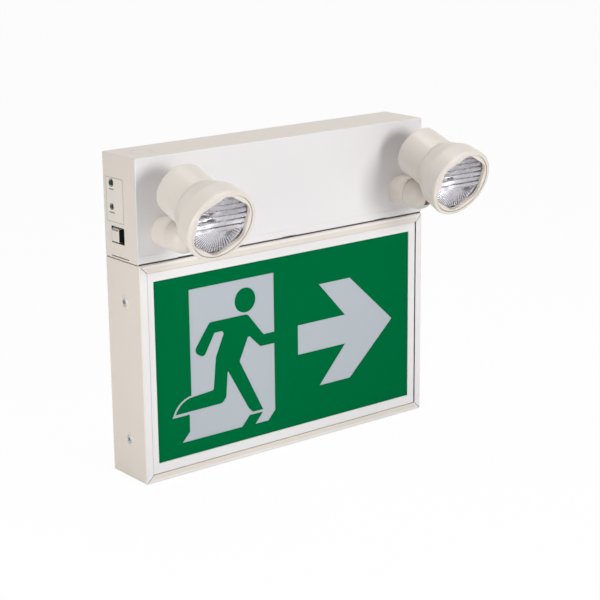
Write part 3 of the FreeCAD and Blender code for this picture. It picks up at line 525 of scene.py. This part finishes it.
# %% Bells
WALL = 2.0
SHOULDER = 18.5
NECK_RADIUS = 25.5
PLUG_RADIUS = 21.9
SEAT_PLAY = 0.4
LEDGE = 1.6
RIM_DROP = 0.9
RIM_LENGTH = 2.2
SLIMMING = 1.3
SHELF_BEHIND_FLANGE = 0.8
NECK_AHEAD_OF_CUP = 0.3


def bell(lamp):
    """Front shell of one head, as a closed profile of outside, neck, inside and lens seat."""
    outer = lamp.reach("lamp_bell").radius
    end = lamp.reach("lamp_bell").back
    seat = lamp.reach("lens_ring").radius
    shelf = lamp.reach("reflector").front + SHELF_BEHIND_FLANGE
    neck = lamp.reach("lamp_cup").front - NECK_AHEAD_OF_CUP
    slim = outer - SLIMMING
    outside = [(0, seat + SEAT_PLAY, 0), (0, outer - RIM_DROP, 1.0), (RIM_LENGTH, outer, 2.2),
               (SHOULDER, slim, 9.0), (neck, NECK_RADIUS, 0.6), (neck, PLUG_RADIUS, 0.3),
               (end, PLUG_RADIUS, 0)]
    inside = [(end, PLUG_RADIUS - WALL, 0), (neck - WALL, PLUG_RADIUS - WALL, 0),
              (SHOULDER - WALL, slim - WALL, 4.0), (shelf + WALL, outer - WALL, 0),
              (shelf + WALL, seat - LEDGE, 0), (shelf, seat - LEDGE, 0), (shelf, seat + SEAT_PLAY, 0)]
    profile = rounded(outside + inside)
    grid = lamp.around(profile[:, :1], profile[:, 1:], circle(128))
    piece = skin(f"{lamp.side}_bell", grid, "cream_plastic", f"{lamp.side}_lamp")
    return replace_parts(piece, f"{lamp.side}_lamp_bell")


for lamp in lamps.values():
    shell = bell(lamp)
    print(shell.name, len(shell.data.polygons), "faces")

# %% [markdown]
# ## Lens rings
# A snap-in ring holds the lens. Its opening is a hexagon with generous rounds, which gives the heads
# their faceted look, and its depth sets the lens a few millimetres back from the rim. A Boolean cut could
# open it, but a grid whose inner edge follows the hexagon's polar radius makes it in one sweep, with even
# faces.

# %% Opening of the ring
OPENING_CORNER = 29.6
OPENING_ROUND = 10.0


def hexagon_radius(angle, corner, turn):
    """Polar radius of a rounded hexagon with a corner at angle zero.

    On a flat it is apothem / cos(angle from the flat's middle); near a corner it is the far crossing of
    the ray with the corner's circle: c cos(p) + sqrt(turn^2 - c^2 sin(p)^2) at p from the corner.
    """
    sixth = np.pi / 3
    from_corner = np.abs((angle + sixth / 2) % sixth - sixth / 2)
    from_flat = sixth / 2 - from_corner
    centre = corner - turn / np.cos(sixth / 2)
    leaves = np.arctan2(turn * np.sin(sixth / 2), centre + turn * np.cos(sixth / 2))
    flat = corner * np.cos(sixth / 2) / np.cos(from_flat)
    beside = np.maximum(turn ** 2 - (centre * np.sin(from_corner)) ** 2, 0)
    return np.where(from_corner < leaves, centre * np.cos(from_corner) + np.sqrt(beside), flat)


opening = hexagon_radius(circle(360), OPENING_CORNER, OPENING_ROUND)
print("the opening's radius runs from", round(float(opening.min()), 2), "to", round(float(opening.max()), 2))

# %% Rings
LENS_DEPTH = 2.0
SOFT_EDGE = np.array([[0.7, 0.25], [0.2, 0.45], [0.0, 0.95]])
BEVEL = 0.3


def lens_front(lamp):
    """The lens lies between the ring and the reflector's flange, so its face is its depth ahead of that."""
    return lamp.reach("reflector").front - LENS_DEPTH


def lens_ring(lamp):
    """Ring from the opening out to the bell.

    Its rows are the opening at the lens, the soft edge (how far behind the front and how far out from
    the opening), the outer end of the flat front, a small bevel, and the outside back to the lens.
    """
    front, _, outer = lamp.reach("lens_ring")
    back = lens_front(lamp)
    station = np.concatenate([[back], front + SOFT_EDGE[:, 0], [front, front + BEVEL, back]])[:, None]
    eased = opening + np.concatenate([[0], SOFT_EDGE[:, 1]])[:, None]
    outside = np.array([[outer - BEVEL], [outer], [outer]]) + np.zeros(opening.size)
    grid = lamp.around(station, np.vstack([eased, outside]), circle(opening.size))
    piece = skin(f"{lamp.side}_ring", grid, "cream_plastic", f"{lamp.side}_lamp")
    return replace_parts(piece, f"{lamp.side}_lens_ring")


for lamp in lamps.values():
    print(lens_ring(lamp).name, "lens face", round(lens_front(lamp), 2), "mm behind the rim")

# %% [markdown]
# ## Lenses
# The lens is clear acrylic. Its face is flat, and the optics are on its rear: level flutes over the upper
# part, which spread the beam up and down, and a fan of fine ribs over the lower part, which spread it
# sideways. A bump map could draw them, but real depth is part of the model, so both are waves added
# to the rear face, on a polar grid with enough rows to carry them.

# %% Lenses
OPTICS_RADIUS = 27.2
FLUTE_PITCH = 5.4
FLUTE_DEPTH = 0.9
FAN_TOP = -7.5
FAN_EYE = 8
FAN_LIFT = 0.2
RIBS_ROUND = 60
RIB_DEPTH = 0.6
FACE_RING = 25.0


def lens(lamp):
    """Clear disc. Rear depth is d (1 - u^2) over each flute, u from -1 to 1 across it, and below the
    fan's top d (1 + cos(n a)) / 2 round the axis, growing from nothing over the fan's eye."""
    front = lens_front(lamp)
    rear = front + LENS_DEPTH
    outer = lamp.reach("lens_ring").radius - 0.2
    angle = circle(360)
    radius = np.linspace(0, OPTICS_RADIUS, 100)[:, None]
    up = radius * np.cos(angle)
    across_flute = 2 * (((up - FAN_TOP) / FLUTE_PITCH) % 1) - 1
    flutes = FLUTE_DEPTH * (1 - across_flute ** 2)
    fan = RIB_DEPTH * (1 + np.cos(RIBS_ROUND * angle)) / 2 * np.clip(radius / FAN_EYE, 0, 1)
    optics = rear - FLUTE_DEPTH + np.where(up > FAN_TOP, flutes, fan + FAN_LIFT)
    edge = np.array([[rear, OPTICS_RADIUS + 0.1], [rear, outer], [front, outer], [front, FACE_RING],
                     [front, 0]])
    grid = np.concatenate([lamp.around(optics, radius, angle), lamp.around(edge[:, :1], edge[:, 1:], angle)])
    piece = skin(f"{lamp.side}_lens", grid, "clear_lens", f"{lamp.side}_lamp", sharp_degrees=40.0)
    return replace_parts(piece, f"{lamp.side}_lamp_lens")


for lamp in lamps.values():
    disc = lens(lamp)
    print(disc.name, len(disc.data.polygons), "faces")

# %% [markdown]
# ## Reflectors and bulbs
# The bowl is a paraboloid, so light from its focus leaves as a level beam. Its wall is thin, and its
# flange lies between the lens and the bell. It is a turned profile again, with rows that stand closer
# towards the vertex, where it curves most. The bulb is a small clear capsule on a round base, and its
# solids are fine enough for smooth copies.

# %% Bowls and bulbs
BOWL_HOLE = 6.3
BOWL_DEPTH = 24.0
BOWL_WALL = 0.8


def reflector(lamp):
    """Bowl on r = R sqrt((v - s) / (v - s0)), from the mouth radius R at s0 to the hole near the vertex v."""
    front, _, outer = lamp.reach("reflector")
    share = np.linspace(0, 1, 40) ** 0.7
    radius = OPTICS_RADIUS + (BOWL_HOLE - OPTICS_RADIUS) * share
    inside = np.stack([front + BOWL_DEPTH * (1 - (radius / OPTICS_RADIUS) ** 2), radius], -1)
    outside = inside[::-1] + [BOWL_WALL, 0]
    flange = [[front + BOWL_WALL, outer - 0.1], [front, outer - 0.1]]
    profile = np.concatenate([inside, outside, flange])
    grid = lamp.around(profile[:, :1], profile[:, 1:], circle(144))
    piece = skin(f"{lamp.side}_bowl", grid, "mirror_bowl", f"{lamp.side}_lamp", sharp_degrees=40.0)
    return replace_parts(piece, f"{lamp.side}_reflector")


for side, lamp in lamps.items():
    print(reflector(lamp).name, [polished(f"{side}_{inner}").name for inner in ("bulb", "bulb_socket")])

# %% [markdown]
# ## Rear cups, collars and knuckles
# The cup closes the back of the head and carries the lug that hangs in the knuckle's slot. The collar is
# fixed to the box, and the knuckle turns against it. These are mouldings with real edge radii in the
# solids, so smooth copies serve them well.

# %% Cups, collars and knuckles
for side in lamps:
    print([polished(f"{side}_{shell}").name for shell in ("lamp_cup", "knuckle", "collar")])

# %% [markdown]
# ## Bars and studs for fine trim
# A few thin things make the sheet metal read as it does: painted shade in its narrow gaps and screw
# recesses, a white front, pressed screw rings, and the dark lines and print on the label. A texture could
# draw them, but pieces are part of the model, and most need to stand only a few hundredths of a millimetre
# proud. Every one is a closed bar or a small turned stud, in a finish from above or in one of two new ones.

# %% Bars and studs
PROUD = 0.03 * MM
moulded("print_grey", linear(92, 84, 78), 0.5)
# A dark finish that paints the shade in narrow gaps and recesses; the rings round the indicator lights wear
# it too.
moulded("joint_shade_dark", linear(62, 57, 56), 0.6)


def bar(name, start, end, side, normal, finish_name, body="cabinet"):
    """Closed bar from start to end, whose section reaches side and normal either way, in metres."""
    start, end, side, normal = (np.array(value, float) for value in (start, end, side, normal))
    section = np.stack([-side - normal, side - normal, side + normal, normal - side])
    grid = np.stack([np.broadcast_to(start, (4, 3)), start + section, end + section,
                     np.broadcast_to(end, (4, 3))])
    return skin(name, grid, finish_name, body, close_rows=False)


def stud(name, centre, out, profile, finish_name):
    """Piece turned about the left-right direction, from (height, radius) pairs in millimetres: at angle a
    it is radius cos a to the rear and radius sin a up, and its height counts towards out, -1 or 1."""
    height, radius = (np.array(profile) * MM).T[:, :, None]
    angle = circle(48)
    around = [out * height, radius * np.cos(angle), radius * np.sin(angle)]
    return skin(name, np.array(centre) + np.stack(np.broadcast_arrays(*around), -1), finish_name, "cabinet")


print("finishes for trim alone:", [name for name in finishes if name not in slot_of.values()])

# %% [markdown]
# ## Shade in the seams of the sheet metal
# Where two folded edges meet, the narrow gap lies in shade and the eye sees a thin dark line: between the
# two units on either side, at the four mitred corners of the sign box, and under the cover. Thin dark bars
# paint that shade here, so the lines don't hang on how a shadow falls. A mitre runs in from its corner at
# 45 degrees.

# %% Seam shade
JOINT_HALF = 0.2 * MM
MITRE_HALF = 0.16 * MM
MITRE_START = 1.4
MITRE_END = 7.4
COVER_JOINT_BACK = 0.5 * MM
COVER_JOINT_DEPTH = 0.4 * MM
COVER_JOINT_SHARE = 0.9
sign_low, sign_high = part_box("sign_housing")
cover_low, cover_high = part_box("front_cover")
gap_shades = []
# Every bar here is dark paint standing for the shade in a narrow gap.
for side, x in (("left", sign_low.x), ("right", sign_high.x)):
    gap_shades.append(bar(f"{side}_side_gap_shade", (x, cover_low.y + MM, sign_high.z), (x, -MM, sign_high.z),
                      (PROUD, 0, 0), (0, 0, JOINT_HALF), "joint_shade_dark"))
    for level, z in (("upper", sign_high.z), ("lower", sign_low.z)):
        inward = np.array([-np.sign(x), 0, -np.sign(z)]) * MM
        corner = np.array([x, sign_low.y, z])
        gap_shades.append(bar(f"{side}_{level}_mitre", corner + MITRE_START * inward, corner + MITRE_END * inward,
                          (MITRE_HALF, 0, -MITRE_HALF * np.sign(x * z)), (0, 2 * PROUD, 0), "joint_shade_dark"))
gap_half = (cover_low.z - sign_high.z) / 2
gap_y = cover_low.y + COVER_JOINT_BACK
gap_z = sign_high.z + gap_half
gap_shades.append(bar("cover_gap_shade", (cover_low.x + MM, gap_y, gap_z), (cover_high.x - MM, gap_y, gap_z),
                  (0, COVER_JOINT_DEPTH, 0), (0, 0, COVER_JOINT_SHARE * gap_half), "joint_shade_dark"))
print("joints:", len(gap_shades))

# %% [markdown]
# ## White front of the sign box
# The face plate sits between the housing's turned-in lips. The lips are white in front like the plate,
# and the cream of the walls shows only along their bent edge. Each lip gets a white strip that leaves the
# bend free on the outside and a narrow gap beside the plate.

# %% White lips
EDGE = 1.1 * MM
PLATE_GAP = 0.8 * MM
plate_low, plate_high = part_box("face_plate")


def strip(outer, inner):
    """Middle and half width of a strip that starts at outer and stops a gap short of inner."""
    half = (abs(outer - inner) - PLATE_GAP) / 2
    return outer - np.sign(outer) * half, half


lip_left, lip_right, lip_bottom, lip_top = (sign_low.x + EDGE, sign_high.x - EDGE, sign_low.z + EDGE,
                                            sign_high.z - EDGE)
lips = []
for level, outer, inner in (("top", lip_top, plate_high.z), ("bottom", lip_bottom, plate_low.z)):
    z, half = strip(outer, inner)
    lips.append(bar(f"{level}_lip_coat", (lip_left, sign_low.y, z), (lip_right, sign_low.y, z),
                    (0, 0, half), (0, PROUD, 0), "white_paint"))
for side, outer, inner in (("left", lip_left, plate_low.x), ("right", lip_right, plate_high.x)):
    x, half = strip(outer, inner)
    lips.append(bar(f"{side}_lip_coat", (x, sign_low.y, plate_low.z), (x, sign_low.y, plate_high.z),
                    (half, 0, 0), (0, PROUD, 0), "white_paint"))
print("white lips:", [lip.name for lip in lips])

# %% [markdown]
# ## Side screws
# Four screws hold the sign box's inner rails. The sheet is pressed up into a low ring round each, and the
# head has a crossed recess. A stud for the ring and one for the low domed head take their radius from the
# solid screws, and two short dark bars lie crosswise on the head, turned off the level: they paint the
# shade in the crossed recess.

# %% Side screws
SLOT_HALF_WIDTH = 0.2
SLOT_HEIGHT = 0.6
SLOT_HALF_DEPTH = 0.32 * MM
screw_low, screw_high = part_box("side_screws")
middle_y = (screw_low.y + screw_high.y) / 2
head = (screw_high.y - screw_low.y) / 2 / MM
RING = [(-0.2, head + 2.4), (0.05, head + 2.4), (1.1, head + 1.2), (1.0, head + 0.8), (-0.2, head - 0.2)]
HEAD = [(-0.2, 0), (-0.2, head - 0.3), (0.3, head - 0.3), (0.8, head - 1.2), (0.9, 0)]
screws = []
for side, x, out in (("left", screw_low.x, -1), ("right", screw_high.x, 1)):
    for level, z in (("lower", screw_low.z + head * MM), ("upper", screw_high.z - head * MM)):
        name = f"{side}_{level}_screw"
        screws.append(stud(f"{name}_ring", (x, middle_y, z), out, RING, "cream_paint"))
        screws.append(stud(f"{name}_head", (x, middle_y, z), out, HEAD, "zinc_steel"))
        spot = np.array([x + out * SLOT_HEIGHT * MM, middle_y, z])
        # The two dark bars are painted shade in the head's crossed recess.
        for turn, reach in (("a", np.array([0, 1.5, 1.0])), ("b", np.array([0, -1.0, 1.5]))):
            width = np.cross(reach, (1, 0, 0)) * SLOT_HALF_WIDTH * MM
            screws.append(bar(f"{name}_slot_{turn}", spot - reach * MM, spot + reach * MM, width,
                              (SLOT_HALF_DEPTH, 0, 0), "joint_shade_dark"))
print("screw pieces:", len(screws))

# %% [markdown]
# ## Label
# The indicator label has a thin dark line round its edge, a dark ring round each indicator light and a
# caption under it.
# The captions are kept as plain bars. Each of them takes its place from the label's or the light's box.

# %% Label
LINE_HALF = 0.14 * MM
BORDER_INSET = 0.4 * MM
CAPTION_DROP = 2.8 * MM
CAPTION_HALF = 0.45 * MM
label_low, label_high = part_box("indicator_label")
face = label_low.x
front_y, rear_y = label_low.y + BORDER_INSET, label_high.y - BORDER_INSET
low_z, high_z = label_low.z + BORDER_INSET, label_high.z - BORDER_INSET
label_marks = []
for name, z in (("low", low_z), ("high", high_z)):
    label_marks.append(bar(f"label_{name}_line", (face, front_y, z), (face, rear_y, z),
                        (PROUD, 0, 0), (0, 0, LINE_HALF), "print_grey"))
for name, y in (("front", front_y), ("rear", rear_y)):
    label_marks.append(bar(f"label_{name}_line", (face, y, low_z), (face, y, high_z),
                        (PROUD, 0, 0), (0, LINE_HALF, 0), "print_grey"))
for led, caption in (("status_led", 3.4 * MM), ("charge_led", 4.2 * MM)):
    led_low, led_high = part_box(led)
    y, z = (led_low.y + led_high.y) / 2, (led_low.z + led_high.z) / 2
    dome = (led_high.y - led_low.y) / 2 / MM
    row = led_low.z - CAPTION_DROP
    label_marks.append(stud(f"{led}_ring", (face, y, z), -1,
                         [(-0.05, dome), (-0.05, dome + 0.5), (0.3, dome + 0.5), (0.5, dome)], "joint_shade_dark"))
    label_marks.append(bar(f"{led}_caption", (face, y - caption, row), (face, y + caption, row),
                        (PROUD, 0, 0), (0, 0, CAPTION_HALF), "print_grey"))
print("label pieces:", len(label_marks))

# %% [markdown]
# ## Painted shade on the rocker of the switch
# The end of the test button that faces forward and the top edge of its well lie in deep shade. Two black
# marks paint that shade on the button: one covers nearly all of the end that faces forward, and one is a
# line across the outer face near its top. Both ride on the button, so they travel with it when it is
# pressed.

# %% Rocker shade
FRONT_SIDE_INSET = 0.4 * MM
FRONT_END_INSET = 0.5 * MM
LINE_SIDE_INSET = 0.9 * MM
LINE_DROP = 1.6 * MM
ROCKER_SHADE_HALF = 0.3 * MM
button_low, button_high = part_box("test_button")
button_z = (button_low.z + button_high.z) / 2
front_shade_half = (button_high.z - button_low.z) / 2 - FRONT_END_INSET
shade_line_z = button_high.z - LINE_DROP
# Both bars are black paint standing for shade: on the forward end of the button and along the edge of its
# well.
rocker = [bar("rocker_front_shade", (button_low.x + FRONT_SIDE_INSET, button_low.y, button_z),
              (button_high.x - FRONT_SIDE_INSET, button_low.y, button_z),
              (0, PROUD, 0), (0, 0, front_shade_half), "black_plastic", "test_button"),
          bar("rocker_well_shade", (button_low.x, button_low.y + LINE_SIDE_INSET, shade_line_z),
              (button_low.x, button_high.y - LINE_SIDE_INSET, shade_line_z),
              (PROUD, 0, 0), (0, 0, ROCKER_SHADE_HALF), "black_plastic", "test_button")]
print("on the button:", [mark.name for mark in rocker])

# %% [markdown]
# ## Floor
# A pale floor lies under the light, and everything behind is white. The camera sees the floor almost
# wholly as a white glow, so that its edge hardly shows, and as a last trace of its real shading.

# %% Floor
FLOOR_GAP = 0.5 * MM
FLOOR_HALF = 6.0
FLOOR_GLOW = 0.96


def stage_floor(height):
    """Large pale plane at a height. Camera rays see mostly a plain white glow in place of its shading."""
    corners = [(x * FLOOR_HALF, y * FLOOR_HALF, height) for x, y in ((-1, -1), (1, -1), (1, 1), (-1, 1))]
    mesh = bpy.data.meshes.new("floor")
    mesh.from_pydata(corners, [], [(0, 1, 2, 3)])
    plane = bpy.data.objects.new("floor", mesh)
    bpy.context.scene.collection.objects.link(plane)
    finish = Finish("floor_white", roughness=0.9)
    finish.feed(base_color=finish.mix(finish.noise(30.0), (0.9, 0.9, 0.9, 1), (0.92, 0.92, 0.92, 1)))
    camera_ray = finish.node("ShaderNodeLightPath", {}, {}, "Is Camera Ray")
    glow = finish.node("ShaderNodeEmission", {}, {"Color": (1, 1, 1, 1), "Strength": 1.0})
    lit = Signal(finish, finish.shader.outputs[0])
    blend = finish.node("ShaderNodeMixShader", {}, {0: camera_ray * FLOOR_GLOW, 1: lit, 2: glow})
    finish.tree.links.new(blend.socket, finish.tree.nodes["Material Output"].inputs["Surface"])
    mesh.materials.append(finish.material)
    return plane


low, high = cad_box
stage_floor(low.z - FLOOR_GAP)
print("floor at", round(low.z - FLOOR_GAP, 4))

# %% [markdown]
# ## Lamps and sky
# Three soft lamps do the lighting: the key in front and a little to the right, a weaker fill from the
# left, and the broadest from above, so the heads throw only soft shadows on the cover. The sky is
# white to the camera, to reflections and through the lenses, and grey as a light, which keeps the paint
# at about the value it was given.

# %% Lamps and sky
def softbox(name, place, aim, size, watts):
    """Square area lamp at a place, facing a point."""
    data = bpy.data.lights.new(name, "AREA")
    data.size = size
    data.energy = watts
    box = bpy.data.objects.new(name, data)
    box.location = place
    box.rotation_euler = (Vector(aim) - Vector(place)).to_track_quat("-Z", "Y").to_euler()
    bpy.context.scene.collection.objects.link(box)
    return box


def studio_sky(grey):
    """White where it is looked at, mirrored or seen through a lens, and grey as a source of light."""
    world = bpy.data.worlds.new("studio")
    world.use_nodes = True
    bpy.context.scene.world = world
    sky = Shading(world.node_tree)
    camera, mirrored, seen_through = (sky.node("ShaderNodeLightPath", {}, {}, ray) for ray in (
        "Is Camera Ray", "Is Glossy Ray", "Is Transmission Ray"))
    level = sky.node("ShaderNodeMapRange", {"clamp": True},
                     {"Value": camera + mirrored + seen_through, "To Min": grey, "To Max": 1.0}, "Result")
    background = world.node_tree.nodes["Background"]
    background.inputs["Color"].default_value = (1, 1, 1, 1)
    world.node_tree.links.new(level.socket, background.inputs["Strength"])


middle = (low + high) / 2
studio_sky(grey=0.2)
boxes_of_light = [softbox("key", (0.2, -1.4, 0.42), middle, size=0.42, watts=10.2),
                  softbox("fill", (-0.8, -0.2, 0.14), (-0.14, 0.0, 0.08), size=0.4, watts=2.5),
                  softbox("top", (0.1, -0.1, 1.7), middle, size=1.0, watts=14.0)]
print("lamps:", [lamp.name for lamp in boxes_of_light])

# %% [markdown]
# ## Camera
# The light is looked at from its left and a little above, with a long lens from one and a half metres,
# which keeps its upright edges nearly parallel. The camera is aimed at the middle of the light's width and
# height, 52 millimetres out from the wall, then rolled by a fraction of a degree, and a small shift sets
# the light in the frame.

# %% Camera
AZIMUTH = np.radians(-37.931)
ELEVATION = np.radians(15.179)
ROLL = np.radians(-0.665)
DISTANCE = 1.5572
target = Vector((0.0, -0.052, 0.047))
backward = Vector((np.sin(AZIMUTH) * np.cos(ELEVATION), -np.cos(AZIMUTH) * np.cos(ELEVATION),
                   np.sin(ELEVATION)))
upright = backward.to_track_quat("Z", "Y").to_matrix()
camera_data = bpy.data.cameras.new("camera")
camera_data.lens = 100.3
camera_data.sensor_width = 36.0
camera_data.shift_x = 0.018
camera_data.shift_y = -0.0095
camera = bpy.data.objects.new("camera", camera_data)
camera.location = target + DISTANCE * backward
camera.rotation_euler = (upright @ Matrix.Rotation(ROLL, 3, "Z")).to_euler()
bpy.context.scene.collection.objects.link(camera)
bpy.context.scene.camera = camera
bpy.context.scene.view_settings.view_transform = "Standard"
print("camera at", [round(value, 3) for value in camera.location])
